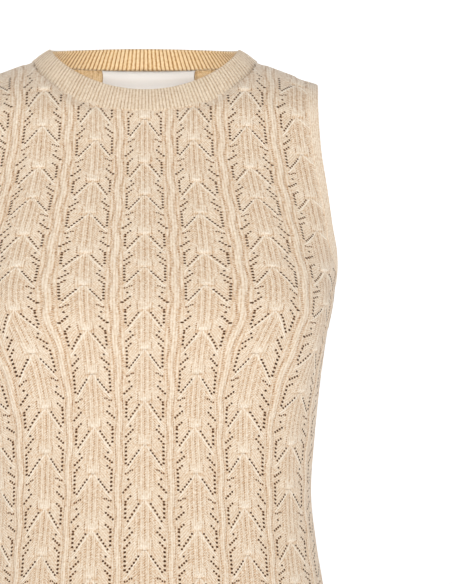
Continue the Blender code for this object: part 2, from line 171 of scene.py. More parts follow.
def unit(vectors):
    return vectors / np.maximum(np.linalg.norm(vectors, axis=-1, keepdims=True), 1e-12)


def fade(value, start, end):
    """0 below start, 1 above end, and a smooth step between them."""
    part = np.clip((value - start) / (end - start), 0, 1)
    return part * part * (3 - 2 * part)


def between(lines, repeat):
    """The two of four stacked lines on either side of each place, and the way past the first."""
    whole = np.clip(repeat.astype(int), 0, 2)
    lower = np.take_along_axis(lines, whole[None], 0)[0]
    return lower, np.take_along_axis(lines, whole[None] + 1, 0)[0], repeat - whole


def column_reach(repeat, height):
    """Share of the half width, 0 to 1, that a knit column lies from the centre line.

    Inside the third motif it runs evenly between the motif lines, once the motifs are drawn in:
    over the shoulder in width, and below that in angle, as the cloth turns away at the side.
    Beyond it the angle round the oval runs evenly to the side seam, or to the armhole edge
    above the underarm.
    """
    column = np.rint(repeat)
    part = repeat - column
    drawn = 1 - fade(np.abs(part), *DRAWN_TO)
    draw = smooth(height, MOTIFS["height"], MOTIFS["draw"])
    repeat = np.where(repeat < 3, column + part * (1 - draw * drawn), repeat)
    lines = [np.zeros_like(height)]
    lines += [smooth(height, MOTIFS["height"], MOTIFS[name]) for name in MOTIF_COLUMNS[1:4]]
    half_width, power = body("half_width", height), body("power", height) / 2
    lines = np.stack(lines) / half_width
    lower, upper, part = between(lines, repeat)
    part = np.clip(part, 0, 1)
    flat = np.clip(lower * (1 - part) + upper * part, 0, 1)
    lower, upper = np.arcsin(np.clip(lower, 0, 1)), np.arcsin(np.clip(upper, 0, 1))
    turned = np.sin(lower * (1 - part) + upper * part)
    inside = flat + (turned - flat) * fade(-height, *ROUND_BELOW)
    third = np.arcsin(np.clip(lines[3], 0, 1) ** power)
    edge = smooth(height, ARMHOLE["height"], ARMHOLE["half_width"]) / half_width
    edge = np.arcsin(np.clip(edge, 0, 1) ** power)
    natural = third + (math.pi / 2 - third) * (repeat - 3) / (SIDE_REPEAT - 3)
    to_edge = third + (edge - third) * (repeat - 3) / (EDGE_REPEAT - 3)
    past_edge = edge + (math.pi / 2 - edge) * (repeat - EDGE_REPEAT) / (SIDE_REPEAT - EDGE_REPEAT)
    share = np.clip((height - NATURAL_BELOW) / (EDGE_ABOVE - NATURAL_BELOW), 0, 1)
    angle = natural * (1 - share) + np.where(repeat < EDGE_REPEAT, to_edge, past_edge) * share
    outside = np.sin(np.clip(angle, 0, math.pi / 2)) ** (1 / power)
    return np.where(repeat <= 3, inside, outside)


def column_top(repeat):
    """Height of the shoulder line over each column, or of the neck's side point inside it."""
    heights = np.linspace(SHOULDER_ZONE, NECK_SIDE_HEIGHT, 60)
    widths = body("half_width", heights)
    top_widths = [0] + [MOTIFS[name][-1] for name in MOTIF_COLUMNS[1:4]] + [SHOULDER_TIP[0]]
    half_width = np.interp(repeat, [0, 1, 2, 3, EDGE_REPEAT], top_widths)
    return np.interp(-half_width, -widths, heights)


def charted_height(repeat, course):
    """The chart's height of a course, eased from each motif column to the next."""
    lines = np.stack([smooth(course, CHART["count"], CHART[name]) for name in COURSE_COLUMNS[1:]])
    lower, upper, part = between(lines, repeat)
    return lower + (upper - lower) * fade(part, 0, 1)


def yoke_climb(course):
    """0 at the yoke line and below it, 1 at the shoulder seam."""
    return np.clip((YOKE_COURSE - course) / (YOKE_COURSE - TOP_COURSE), 0, 1)


def course_height(repeat, course):
    """Height of a knit course: down the body the chart's, which levels out towards the hem, and
    above the yoke line a power curve that slows as the cloth turns over the shoulder."""
    repeat, course = np.broadcast_arrays(np.asarray(repeat, float), np.asarray(course, float))
    level = smooth(course, CHART["count"], CHART["centre"])
    settled = np.clip((level - HEM_TOP) / HEM_SETTLE, 0, 1)
    lower = level + (charted_height(repeat, course) - level) * settled
    start = charted_height(repeat, np.full(repeat.shape, YOKE_COURSE))
    rise = 1 - (1 - yoke_climb(course)) ** YOKE_ROUND
    upper = start + (column_top(repeat) - start) * rise
    return np.where(course < YOKE_COURSE, upper, lower)


# The neck seam: a full oval in plan that dips in front, and the folded top edge of its band.
NECK_SEAM = {"half_width": 0.1024, "front": 0.080, "back": 0.078,
             "side_height": -0.010, "front_dip": 0.0485, "back_rise": -0.004, "dip_power": 1.1}
NECK_TOP = {"half_width": 0.0870, "front": 0.0693, "back": 0.0720,
            "side_height": 0.0004, "front_dip": 0.0407, "back_rise": 0.0064, "dip_power": 1.5}
NECK_ROUND = 0.87
NECK_FIT = 0.014
SHOULDER_FLAT = 3


def neck_ring(ring, angle):
    """A neckline: an oval in plan, angle 0 at +X and -90 degrees in front, whose height falls
    from the side point with a power of the sine."""
    turn = np.sin(angle)
    front = turn < 0
    depth = np.where(front, ring["front"], ring["back"])
    dip = np.abs(turn) ** ring["dip_power"]
    height = ring["side_height"] + np.where(front, -ring["front_dip"], ring["back_rise"]) * dip
    depth = depth * np.sign(turn) * np.abs(turn) ** NECK_ROUND
    return np.stack([ring["half_width"] * np.cos(angle), depth, height], axis=-1)


def neck_frame(angle):
    """At the neck seam: its point, the way down the cloth and the way out of it."""
    point = neck_ring(NECK_SEAM, angle)
    down = unit(point - neck_ring(NECK_TOP, angle))
    tangent = neck_ring(NECK_SEAM, angle + 0.01) - neck_ring(NECK_SEAM, angle - 0.01)
    out = unit(np.cross(down, tangent))
    return point, unit(np.cross(tangent, out)), out


def below_neck(side, points):
    """From the neck seam at the same width: how far down the cloth each point lies, how far out
    of it, how far away in all, and the seam's way out."""
    share = np.clip(points[..., 0] / NECK_SEAM["half_width"], -1, 1)
    seam, down, out = neck_frame(side * np.arccos(share))
    away = points - seam
    return (away * down).sum(-1), (away * out).sum(-1), np.linalg.norm(away, axis=-1), out


def neck_margin(side, points):
    """How far below the neck seam each point lies, and 1 beyond the sides of the neck."""
    beyond = np.abs(points[..., 0]) > NECK_SEAM["half_width"]
    return np.where(beyond, 1.0, below_neck(side, points)[0])


def oval_place(side, repeat, height):
    """Width and depth where a knit column crosses the body at a height, a rounded oval
    |x/w|^p + |y/d|^p = 1. repeat counts motif columns from the centre line."""
    reach, power = column_reach(repeat, height), body("power", height)
    depth = body("front_depth" if side == FRONT else "back_depth", height)
    depth = depth * np.clip(1 - reach**power, 0, 1) ** (1 / power)
    return reach * body("half_width", height), depth


def cloth(side, repeat, course):
    """The plain cloth: the body's oval, cut where a knit column meets its course. Over the
    shoulder the depth runs out at the seam, and round the neck the cloth is drawn onto the
    band's cone."""
    direction, repeat = np.sign(repeat), np.abs(repeat)
    height = course_height(repeat, course)
    x, depth = oval_place(side, repeat, height)
    left_over = oval_place(side, repeat, column_top(repeat))[1]
    left_over = np.where(repeat > NECK_CORNER, left_over * yoke_climb(course)**SHOULDER_FLAT, 0.0)
    depth = np.sqrt(np.clip(depth**2 - left_over**2, 0, None))
    points = np.stack([direction * x, side * depth, height], axis=-1)
    _, proud, apart, out = below_neck(side, points)
    return points - out * (proud * fade(1 - apart / NECK_FIT, 0, 1))[..., None]


def cloth_frame(side, repeat, course):
    """Points of the plain cloth with the ways out of it, crossed from small steps each way."""
    step = 0.004
    repeat, course = np.broadcast_arrays(np.asarray(repeat, float), np.asarray(course, float))
    inner = np.clip(repeat, -SIDE_REPEAT + step, SIDE_REPEAT - step)
    across = cloth(side, inner + step, course) - cloth(side, inner - step, course)
    down = cloth(side, repeat, course + step) - cloth(side, repeat, course - step)
    return cloth(side, repeat, course), unit(np.cross(down, across) * -side)


# The chart of one motif, in millimetres from the motif's centre line and from the lower edge of
# the bow above it: a column is 46.5 wide and a repeat 89.5 long, the second bow 40.1 down.
COLUMN_WIDTH = 46.5
REPEAT_LENGTH = 89.5
SECOND_BOW = 40.1
ODD_SHIFT = 0.24
WALES = (0, 1.5, 2.9, 4.4, 6.2, 8.0, 9.8, 11.6, 13.4, 15.3, 17.7, 19.6, 21.0, 22.2, 23.25)
COURSES_A_REPEAT = 50
EYELET_COLUMNS = ("across", "down", "step_across", "step_down", "count", "wide", "tall")
EYELETS = (
    # under the first bow: long vein, top of the leaf, leaf side, leaf tip, foot line
    (5.3, 3.8, 1.8, 2.7, 6, 0.92, 0.90),
    (12.3, -3.5, 2.1, 2.0, 3, 0.92, 0.86),
    (16.6, 3.3, 0.0, 3.58, 4, 1.12, 0.98),
    (12.9, 23.2, 0.0, 0.0, 1, 1.00, 0.98),
    (10.7, 26.8, 2.0, 1.9, 4, 0.94, 0.90),
    # under the second bow: the same lines over a longer leaf, with a row of narrow ones
    (12.7, 35.0, 2.1, 2.1, 3, 0.92, 0.86),
    (16.6, 42.4, 0.0, 3.58, 5, 1.12, 0.98),
    (5.3, 46.2, 1.8, 2.4, 6, 0.92, 0.90),
    (10.7, 63.1, 1.9, 1.0, 4, 0.52, 0.80),
    (17.0, 65.2, 0.0, 0.0, 1, 1.20, 1.10),
    (14.3, 71.1, 0.0, 0.0, 1, 1.00, 0.98),
    (12.2, 75.7, 2.1, 2.1, 4, 0.98, 0.94),
)
PURL_LINE = 20.1
PURL_SWING = 1.2
FOOT_END = 34.0
PURL_DEPTH, PURL_HALF = 0.3, 0.8
BAND_RISE, BAND_SHOULDER, BAND_MIDDLE = 0.55, 21.0, 23.25
LEAF_RISE, LEAF_HALF, LEAF_SWELL = 1.1, 13.5, 1.4
TUCK_DIP, TUCK_PLACE, TUCK_HALF, TUCK_REACH = 0.5, 0.8, 1.6, 8
PLAIN_TONE, BAND_PAINTED_LIGHT, LEAF_PAINTED_LIGHT, TUCK_PAINTED_SHADE = 0.6, 0.06, 0.10, 0.15


def column_shift(column):
    """Every second motif column starts lower, by a share of a repeat."""
    return np.where(column.astype(int) % 2 != 0, ODD_SHIFT, 0.0)


def motif_place(repeat, course):
    """Millimetres across from the nearest motif's centre and down from its first bow."""
    column = np.rint(repeat)
    down = (course - column_shift(column)) % 1
    return (repeat - column) * COLUMN_WIDTH, down * REPEAT_LENGTH


def bow_above(down):
    """How far down the nearest bow above a place is, and the length from it to the next bow."""
    second = down >= SECOND_BOW
    length = np.where(second, REPEAT_LENGTH - SECOND_BOW, SECOND_BOW)
    return np.where(second, SECOND_BOW, 0.0), length


def purl_waver(down):
    """The purl line beside the band swings out, in millimetres, where a foot line ends."""
    return PURL_SWING * np.cos((down - FOOT_END) * 4 * math.pi / REPEAT_LENGTH)


def relief(repeat, course):
    """How proud each point of the knit stands, in millimetres, and its tone from 0 to 1.

    A smooth band between the columns with a purl line on each side, a leaf that swells towards
    the bow at its foot, and a dip where the bow is tucked in. The tone is painted light and
    shade: lighter on the raised band and leaf, darker in the tuck's dip."""
    across, down = motif_place(repeat, course)
    far = np.abs(across)
    bow, length = bow_above(down)
    below = down - bow
    far = far - np.clip(far / PURL_LINE, 0, 1) ** 4 * purl_waver(down)
    band = np.interp(far, [PURL_LINE, BAND_SHOULDER, BAND_MIDDLE], [0, 0.8, 1.0])
    purl = np.exp(-((far - PURL_LINE) / PURL_HALF) ** 2)
    leaf = np.clip(1 - (far / LEAF_HALF) ** 2, 0, 1)
    leaf = leaf * np.clip(below / length, 0, 1) ** LEAF_SWELL
    tuck = np.exp(-((below - TUCK_PLACE) / TUCK_HALF) ** 2)
    tuck = tuck * np.clip(1 - (far / TUCK_REACH) ** 4, 0, 1)
    proud = BAND_RISE * band - PURL_DEPTH * purl + LEAF_RISE * leaf - TUCK_DIP * tuck
    # Painted light and shade: the raised band and leaf lighter, the tuck's dip darker.
    tone = PLAIN_TONE + BAND_PAINTED_LIGHT * band + LEAF_PAINTED_LIGHT * leaf - TUCK_PAINTED_SHADE * tuck
    return proud, np.clip(tone, 0, 1)


# The armhole: straight down the edge column, then a quarter oval round the underarm.
ARMHOLE_TURN = -0.160
ARMHOLE_DROP = 0.048
ARMHOLE_WIDTH = 0.0384
TRIM_ARMHOLE = 0.0062
RELIEF_START = (0.0095, 0.0150)
SIDE_FADE = (0.02, 0.60)
SHOULDER_FADE = (0.01, 0.25)
SEAM_WIDTH, SEAM_DIP, SEAM_PAINTED_SHADE = 0.03, 0.8, 0.3
EDGE_TONE = 0.62
EYELET_START = 0.0125
TRIM_NECK = -0.0015
EYELET_NECK = 0.0025
EYELET_TOP = 0.34
LAST_WALE = 0.012


def armhole_distance(repeat, height):
    """Metres from the armhole's edge into the cloth: the excess over 1 of the edge oval's
    radius, times the oval's size in that direction."""
    across = (SIDE_REPEAT - np.abs(repeat)) / (SIDE_REPEAT - EDGE_REPEAT)
    down = np.clip((ARMHOLE_TURN - height) / ARMHOLE_DROP, 0, None)
    radius = np.maximum(np.hypot(across, down), 1e-6)
    size = np.hypot(ARMHOLE_WIDTH * across, ARMHOLE_DROP * down) / radius
    return (radius - 1) * size


def knit_surface(side, repeat, course, inward=0.0):
    """The cloth with its relief raised along the ways out of it, and the tone of each point.
    The relief dies away at the armhole border, the side seams and the shoulder, and the side
    seam's dip is painted darker as shade."""
    points, outs = cloth_frame(side, repeat, course)
    proud, tone = relief(repeat, course)
    level = fade(armhole_distance(repeat, points[..., 2]), *RELIEF_START)
    level = level * fade(SIDE_REPEAT - np.abs(repeat), *SIDE_FADE)
    level = level * fade(course - TOP_COURSE, *SHOULDER_FADE)
    # The seam's dip is also darkened in tone: painted shade.
    seam = (1 - fade(SIDE_REPEAT - np.abs(repeat), 0, SEAM_WIDTH)) * SEAM_DIP
    points = points + outs * ((proud * level - seam) / 1000 - inward)[..., None]
    return points, EDGE_TONE + (tone - EDGE_TONE) * level - seam * SEAM_PAINTED_SHADE


def knit_rows():
    """Courses from the shoulder seam to the hem."""
    dense = np.linspace(0, 6, 2000)
    heights = smooth(dense, CHART["count"], CHART["centre"])
    hem_course = np.interp(-HEM_TOP, -heights, dense)
    rows = int(round((hem_course - TOP_COURSE) * COURSES_A_REPEAT))
    return np.linspace(TOP_COURSE, hem_course, rows + 1)


def knit_columns():
    """Columns of points, in motif repeats, from one side seam to the other."""
    wales = np.array(WALES) / COLUMN_WIDTH
    motifs = np.arange(5)[:, None]
    half = np.unique(np.round(np.concatenate([motifs + wales, motifs - wales]).ravel(), 5))
    half = np.append(half[(half > 1e-6) & (half < SIDE_REPEAT - LAST_WALE)], SIDE_REPEAT)
    return np.concatenate([-half[::-1], [0.0], half])


def charted_eyelets():
    """Repeat, course, half width and half height of every eyelet, over all columns and repeats."""
    chart = table(EYELET_COLUMNS, EYELETS)
    counts = chart["count"].astype(int)
    each = np.repeat(np.arange(len(counts)), counts)
    turn = np.arange(len(each)) - np.repeat(np.cumsum(counts) - counts, counts)
    across = chart["across"][each] + turn * chart["step_across"][each]
    down = chart["down"][each] + turn * chart["step_down"][each]
    across = np.concatenate([across, -across]) / COLUMN_WIDTH
    down = np.tile(down, 2) / REPEAT_LENGTH
    wide, tall = (np.tile(chart[name][each], 2) for name in ("wide", "tall"))
    columns = np.arange(-4, 5)[:, None, None]
    starts = np.arange(-2, 6)[None, :, None]
    downs = starts + column_shift(columns) + down
    placed = np.broadcast_arrays(columns + across, downs, wide, tall)
    return [values.ravel() for values in placed]


def knit_panel(side, inward=0.0):
    """A panel's points, quads, triangles, knit coordinates in millimetres, and tones.

    A grid of columns and courses. A cell that holds an eyelet is pulled to the eyelet's charted
    place, and is closed by triangles round an eight-sided hole. Cells past the neck seam and
    under the armhole border are left out."""
    columns, rows = knit_columns(), knit_rows()
    repeats, courses = np.meshgrid(columns, rows, indexing="ij")
    repeat, course, wide, tall = charted_eyelets()
    i = np.searchsorted(columns, repeat) - 1
    j = np.searchsorted(rows, course) - 1
    inside = (i >= 1) & (i < len(columns) - 2) & (j >= 1) & (j < len(rows) - 2)
    _, first = np.unique(np.where(inside, i * len(rows) + j, -1), return_index=True)
    first = first[inside[first]]
    i, j, repeat, course, wide, tall = (part[first] for part in (i, j, repeat, course, wide, tall))
    pull = np.zeros((3, *repeats.shape))
    wanted = (repeat - (columns[i] + columns[i + 1]) / 2, course - (rows[j] + rows[j + 1]) / 2, 1.0)
    for right, below in ((0, 0), (1, 0), (1, 1), (0, 1)):
        for index, value in enumerate(wanted):
            np.add.at(pull[index], (i + right, j + below), value)
    repeats = repeats + pull[0] / np.maximum(pull[2], 1)
    courses = courses + pull[1] / np.maximum(pull[2], 1)

    points, tones = knit_surface(side, repeats, courses, inward)
    ids = np.arange(repeats.size).reshape(repeats.shape)
    cells = np.stack([ids[:-1, :-1], ids[1:, :-1], ids[1:, 1:], ids[:-1, 1:]], axis=-1)
    neck = neck_margin(side, points)
    arm = armhole_distance(repeats, points[..., 2])
    kept = (neck > TRIM_NECK) & (arm > TRIM_ARMHOLE)
    kept = kept.ravel()[cells].all(-1)
    open_here = (neck > EYELET_NECK) & (arm > EYELET_START) & (courses > TOP_COURSE + EYELET_TOP)
    open_here = open_here.ravel()[cells].all(-1)
    holed = open_here[i, j]
    i, j, wide, tall = i[holed], j[holed], wide[holed, None], tall[holed, None]
    corners = cells[i, j]

    # the eight points round each eyelet, the even ones towards the cell's corners
    middle_repeat = repeats.ravel()[corners].mean(-1)[:, None]
    middle_course = courses.ravel()[corners].mean(-1)[:, None]
    turns = np.radians(225 + 45 * np.arange(8))
    ring_repeat = middle_repeat + wide * np.cos(turns) / COLUMN_WIDTH
    ring_course = middle_course + tall * np.sin(turns) / REPEAT_LENGTH
    ring_points, ring_tones = knit_surface(side, ring_repeat, ring_course, inward)
    rings = ids.size + np.arange(ring_repeat.size).reshape(ring_repeat.shape)
    fans = []
    for corner in range(4):
        this, following = corners[:, corner], corners[:, (corner + 1) % 4]
        near, middle, far = (rings[:, (2 * corner + step) % 8] for step in range(3))
        fans += [np.stack([this, following, middle], 1), np.stack([this, middle, near], 1),
                 np.stack([following, far, middle], 1)]
    kept[i, j] = False
    quads, triangles = cells[kept], np.concatenate(fans)
    points = np.concatenate([points.reshape(-1, 3), ring_points.reshape(-1, 3)])
    # The rim round each eyelet is darkened: painted shade in the hole.
    tones = np.concatenate([tones.ravel(), (ring_tones * EYELET_RIM_PAINTED_SHADE).ravel()])
    repeats = np.concatenate([repeats.ravel(), ring_repeat.ravel()])
    courses = np.concatenate([courses.ravel(), ring_course.ravel()])
    if (side == FRONT) == (inward == 0):
        quads, triangles = quads[:, ::-1], triangles[:, ::-1]
    corners = [knit_corners(repeats[faces], courses[faces]) for faces in (quads, triangles)]
    knit, motif = (np.concatenate([part.reshape(-1, 2) for part in pair]) for pair in zip(*corners))
    return points, quads, triangles, knit, motif, tones


def knit_corners(repeats, courses):
    """Two coordinates, in millimetres, for every corner of faces: along the wales of the plain
    stitches, and from the motif's centre line and its first bow. In the leaves the wales lean
    out, from the angle of the vein at the top to the angle of the foot line, so they are
    |across| cos(lean) - below sin(lean)."""
    middle_repeat = repeats.mean(-1, keepdims=True)
    middle_course = courses.mean(-1, keepdims=True)
    column = np.rint(middle_repeat)
    start = np.floor(middle_course - column_shift(column)) + column_shift(column)
    across = (repeats - column) * COLUMN_WIDTH
    down = (courses - start) * REPEAT_LENGTH
    middle_far = np.abs(middle_repeat - column) * COLUMN_WIDTH
    middle_down = (middle_course - start) * REPEAT_LENGTH
    bow, length = bow_above(middle_down)
    below = down - bow
    lean = np.radians(VEIN_LEAN + (FOOT_LEAN - VEIN_LEAN) * np.clip(below / length, 0, 1))
    leaf = (middle_far > LEAF_WALES[0]) & (middle_far < LEAF_WALES[1])
    u = np.where(leaf, np.abs(across) * np.cos(lean) - below * np.sin(lean), across)
    v = np.where(leaf, np.abs(across) * np.sin(lean) + below * np.cos(lean), down)
    swing = np.clip(np.abs(across) / PURL_LINE, 0, 1) ** 4 * purl_waver(down) * np.sign(across)
    return np.stack([u, v], -1), np.stack([across - swing, down], -1)


def make_piece(name, points, quads, triangles, knit, motif, tones, finish):
    """A mesh of only the points that its faces use, with two coordinates for each corner of its
    faces, the wales of the stitches and the place in the motif, and a tone for each point."""
    used, loops = np.unique(np.concatenate([quads.ravel(), triangles.ravel()]),
                            return_inverse=True)
    loops = loops.ravel()
    mesh = bpy.data.meshes.new(name)
    mesh.vertices.add(len(used))
    mesh.vertices.foreach_set("co", points[used].astype(np.float32).ravel())
    mesh.loops.add(len(loops))
    mesh.loops.foreach_set("vertex_index", loops.astype(np.int32))
    starts = np.concatenate([4 * np.arange(len(quads)),
                             quads.size + 3 * np.arange(len(triangles))])
    mesh.polygons.add(len(starts))
    mesh.polygons.foreach_set("loop_start", starts.astype(np.int32))
    mesh.polygons.foreach_set("use_smooth", np.ones(len(starts), bool))
    mesh.update(calc_edges=True)
    for layer_name, corners in (("knit", knit), ("motif", motif)):
        layer = mesh.uv_layers.new(name=layer_name)
        layer.data.foreach_set("uv", corners.astype(np.float32).ravel())
    tone = mesh.attributes.new("tone", "FLOAT", "POINT")
    tone.data.foreach_set("value", tones[used].astype(np.float32))
    mesh.materials.append(finish)
    piece = bpy.data.objects.new(name, mesh)
    bpy.context.collection.objects.link(piece)
    return piece


def plain_piece(name, points, quads, knit, tones, finish):
    """A piece of quads only, far from any motif, with knit coordinates for each point."""
    corners = knit.reshape(-1, 2)[quads].reshape(-1, 2)
    return make_piece(name, points.reshape(-1, 3), quads, np.zeros((0, 3), int), corners,
                      np.full(corners.shape, PLAIN_PLACE), tones.ravel(), finish)


def grid_piece(name, points, knit, tones, finish, closed=False, flipped=False):
    """A plain piece from one grid of points."""
    quads = grid_quads(points.shape[:2], closed)
    quads = quads[:, ::-1] if flipped else quads
    return plain_piece(name, points, quads, knit, tones, finish)


def grid_quads(shape, closed=False):
    """Quads between neighbours of a grid of points, closed round its first axis if asked."""
    ids = np.arange(shape[0] * shape[1]).reshape(shape)
    ring = np.concatenate([ids, ids[:1]]) if closed else ids
    return np.stack([ring[:-1, :-1], ring[1:, :-1], ring[1:, 1:], ring[:-1, 1:]], -1).reshape(-1, 4)


def linear(red, green, blue):
    """A screen colour of 0 to 255 as the linear colour that a shader takes."""
    share = np.array([red, green, blue]) / 255
    low = share / 12.92
    return (*np.where(share <= 0.04045, low, ((share + 0.055) / 1.055) ** 2.4), 1.0)


def add_node(material, kind, inputs=(), **settings):
    """A shader node with its settings, and inputs by name or number: a socket is linked."""
    node = material.node_tree.nodes.new(kind)
    for key, value in settings.items():
        setattr(node, key, value)
    for key, value in dict(inputs).items():
        value = getattr(value, "socket", value)
        if isinstance(value, bpy.types.NodeSocket):
            material.node_tree.links.new(value, node.inputs[key])
        else:
            node.inputs[key].default_value = value
    return node


class Value:
    """A value in a material: each step of arithmetic on it adds one math node."""

    def __init__(self, material, socket):
        self.material, self.socket = material, socket

    def by(self, operation, other=0.5):
        node = add_node(self.material, "ShaderNodeMath", {0: self, 1: other}, operation=operation)
        return Value(self.material, node.outputs[0])

    def __add__(self, other):
        return self.by("ADD", other)

    def __sub__(self, other):
        return self.by("SUBTRACT", other)

    def __mul__(self, other):
        return self.by("MULTIPLY", other)

    def ease(self, start, end, low=0.0, high=1.0):
        """low before start, high after end, and a smooth step between them."""
        inputs = {"Value": self, "From Min": start, "From Max": end, "To Min": low, "To Max": high}
        node = add_node(self.material, "ShaderNodeMapRange", inputs,
                        interpolation_type="SMOOTHSTEP")
        return Value(self.material, node.outputs[0])

    def line_at(self, place, half_width):
        """A soft line: 1 at its place, falling to 0 a half width away."""
        return (self - place).by("ABSOLUTE").ease(0.0, half_width, 1.0, 0.0)


def new_finish(name, roughness, sheen, specular):
    material = bpy.data.materials.new(name)
    material.use_nodes = True
    shader = material.node_tree.nodes["Principled BSDF"]
    shader.inputs["Roughness"].default_value = roughness
    shader.inputs["Sheen Weight"].default_value = sheen
    shader.inputs["Sheen Roughness"].default_value = 0.5
    shader.inputs["Specular IOR Level"].default_value = specular
    return material, shader


def colour_and_bump(material, shader, ramp, bump):
    material.node_tree.links.new(ramp.outputs[0], shader.inputs["Base Color"])
    material.node_tree.links.new(bump.outputs[0], shader.inputs["Normal"])


def split_layer(material, layer):
    uv = add_node(material, "ShaderNodeUVMap", uv_map=layer).outputs[0]
    split = add_node(material, "ShaderNodeSeparateXYZ", {0: uv})
    return Value(material, split.outputs["X"]), Value(material, split.outputs["Y"])


def stitch_height(material, wale, course):
    """Plain stitches in the knit coordinates: rounded wales, crossed by loops whose legs lean
    into a V. height = 0.5 - 0.6 e^2 + 0.25 sin(course turns + 3.2 e), with e the distance from
    the wale's middle."""
    u, v = split_layer(material, "knit")
    edge = (u.by("DIVIDE", wale).by("FRACT") - 0.5).by("ABSOLUTE") * 2.0
    turns = v.by("DIVIDE", course / (2 * math.pi)) + edge * 3.2
    return turns.by("SINE") * 0.25 + 0.5 + edge.by("POWER", 2.0) * -0.6


def motif_layer(material):
    """The place in the motif: across and down from its first bow, 1 under the second bow and 0
    above it, and down from the nearer bow above."""
    across, down = split_layer(material, "motif")
    second = down.by("GREATER_THAN", SECOND_BOW)
    return across, down, second, down - second * SECOND_BOW


def purl_grooves(material):
    """Dotted purl lines of the motif: one down its middle and two on each side between the
    bows, each from some way below a bow to a little above the next, one beside the band, and a
    short one on each side of every bow."""
    across, down, second, below = motif_layer(material)
    far = across.by("ABSOLUTE")
    left = second * (REPEAT_LENGTH - 2 * SECOND_BOW) + SECOND_BOW - below
    total = far.line_at(*BOW_SIDES[:2]) * left.ease(BOW_SIDES[2], BOW_SIDES[2] - BOW_SIDES[3])
    for place, half_width, start, stop, strength in PURL_LINES:
        line = far.line_at(place, half_width)
        if stop > 0:
            line = line * below.ease(start, start + PURL_EASE) * left.ease(stop, stop + PURL_EASE)
        total = total.by("MAXIMUM", line * strength)
    dots = (down * (2 * math.pi / PURL_PITCH) + across * PURL_SLANT).by("SINE") * 0.5
    return total * (dots + 0.55)


def vein_ridge(material):
    """The ridge of slanting stitches below each row of vein eyelets, raised by the bump and
    painted paler as a highlight: it starts under the bow's middle and runs down to the leaf's
    edge, where |across| cos(lean) - below sin(lean) keeps one value."""
    across, _, _, below = motif_layer(material)
    far = across.by("ABSOLUTE")
    lean = math.radians(VEIN_LEAN)
    ridge = far * math.cos(lean) - below * math.sin(lean)
    return ridge.line_at(RIDGE_PLACE, RIDGE_HALF) * far.ease(LEAF_WALES[1], RIDGE_END)


def knit_finish(name, shades, wale, course, relief_depth, purls):
    """Fine viscose knit: the tone, which carries the painted light and shade of the relief, picks
    between four shades, a little cloudy from uneven yarn, painted darker as shade in the gaps
    between stitches and in the purl grooves, and painted paler as a highlight on the vein ridges."""
    material, shader = new_finish(name, 0.85, 0.3, 0.25)
    tone = add_node(material, "ShaderNodeAttribute", attribute_name="tone").outputs["Fac"]
    place = add_node(material, "ShaderNodeTexCoord").outputs["Object"]
    clouds, specks = (
        Value(material, add_node(material, "ShaderNodeTexNoise", {
            "Vector": place, "Scale": scale, "Detail": detail}).outputs[0])
        for scale, detail in (YARN_CLOUDS, YARN_SPECKS))
    height = stitch_height(material, wale, course)
    shade = (clouds - 0.5) * CLOUD_SHADE + (specks - 0.5) * SPECK_SHADE
    # Painted light and shade of the stitches: higher loops lighter, gaps between them darker.
    shade = shade + (height - 0.3) * STITCH_PAINTED_SHADE
    if purls:
        grooves, ridge = purl_grooves(material), vein_ridge(material)
        # The purl grooves are painted darker as shade, and the vein ridges paler as a highlight.
        shade = shade - grooves * GROOVE_PAINTED_SHADE + ridge * RIDGE_PAINTED_HIGHLIGHT
        height = height - grooves * GROOVE_DEPTH + ridge * RIDGE_RISE
    ramp = add_node(material, "ShaderNodeValToRGB", {0: Value(material, tone) + shade})
    ramp.color_ramp.elements[0].color = linear(*shades[0])
    ramp.color_ramp.elements[1].color = linear(*shades[3])
    for place, shade in ((LOW_TONE, shades[1]), (MIDDLE_TONE, shades[2])):
        ramp.color_ramp.elements.new(place).color = linear(*shade)
    bump = add_node(material, "ShaderNodeBump",
                    {"Height": height, "Distance": relief_depth, "Strength": 0.7})
    colour_and_bump(material, shader, ramp, bump)
    return material


# Share of the tone left at the eyelet rims: painted shade.
EYELET_RIM_PAINTED_SHADE = 0.12
VEIN_LEAN, FOOT_LEAN = 35.6, 47.7
LEAF_WALES = (6.2, 17.7)
PLAIN_PLACE = 12.0
KNIT_SHADES = ((132, 84, 44), (205, 172, 138), (220, 201, 177), (242, 229, 211))
LOW_TONE, MIDDLE_TONE = 0.40, 0.62
WALE_PITCH = 2.0
COURSE_PITCH = 1.25
STITCH_DEPTH = 0.0005
STITCH_PAINTED_SHADE, GROOVE_PAINTED_SHADE, CLOUD_SHADE, SPECK_SHADE = 0.42, 0.42, 0.16, 0.9
GROOVE_DEPTH = 1.2
YARN_CLOUDS, YARN_SPECKS = (55.0, 3.0), (600.0, 2.0)
# Purl lines: place across, half width, start below a bow, stop above the next, strength.
PURL_LINES = (
    (0.5, 1.1, 3.0, 4.0, 0.9),
    (4.9, 1.4, 8.0, 6.0, 1.0),
    (8.7, 1.3, 13.0, 9.0, 0.8),
    (PURL_LINE, 1.5, 0.0, 0.0, 0.85),
)
PURL_EASE, PURL_PITCH, PURL_SLANT = 5, 2.1, 2.2
# Beside each bow: place across, half width, start above the bow, way to full strength.
BOW_SIDES = (6.3, 1.1, 9.0, 3)
RIDGE_PLACE, RIDGE_HALF, RIDGE_END, RIDGE_PAINTED_HIGHLIGHT, RIDGE_RISE = -0.2, 1.2, 15.5, 0.28, 0.9
pointelle = knit_finish("beige pointelle knit", KNIT_SHADES, WALE_PITCH, COURSE_PITCH,
                        STITCH_DEPTH, True)



def place_for(node_name, piece):
    """The piece rides on the one body and stands for a node of the part, whose own mesh is hidden.
    """
    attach(piece, "root")
    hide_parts(node_name)
    return piece


for side, name in SIDES:
    panel = make_piece(f"{name}_pointelle", *knit_panel(side), pointelle)
    place_for(f"{name}_panel", panel)


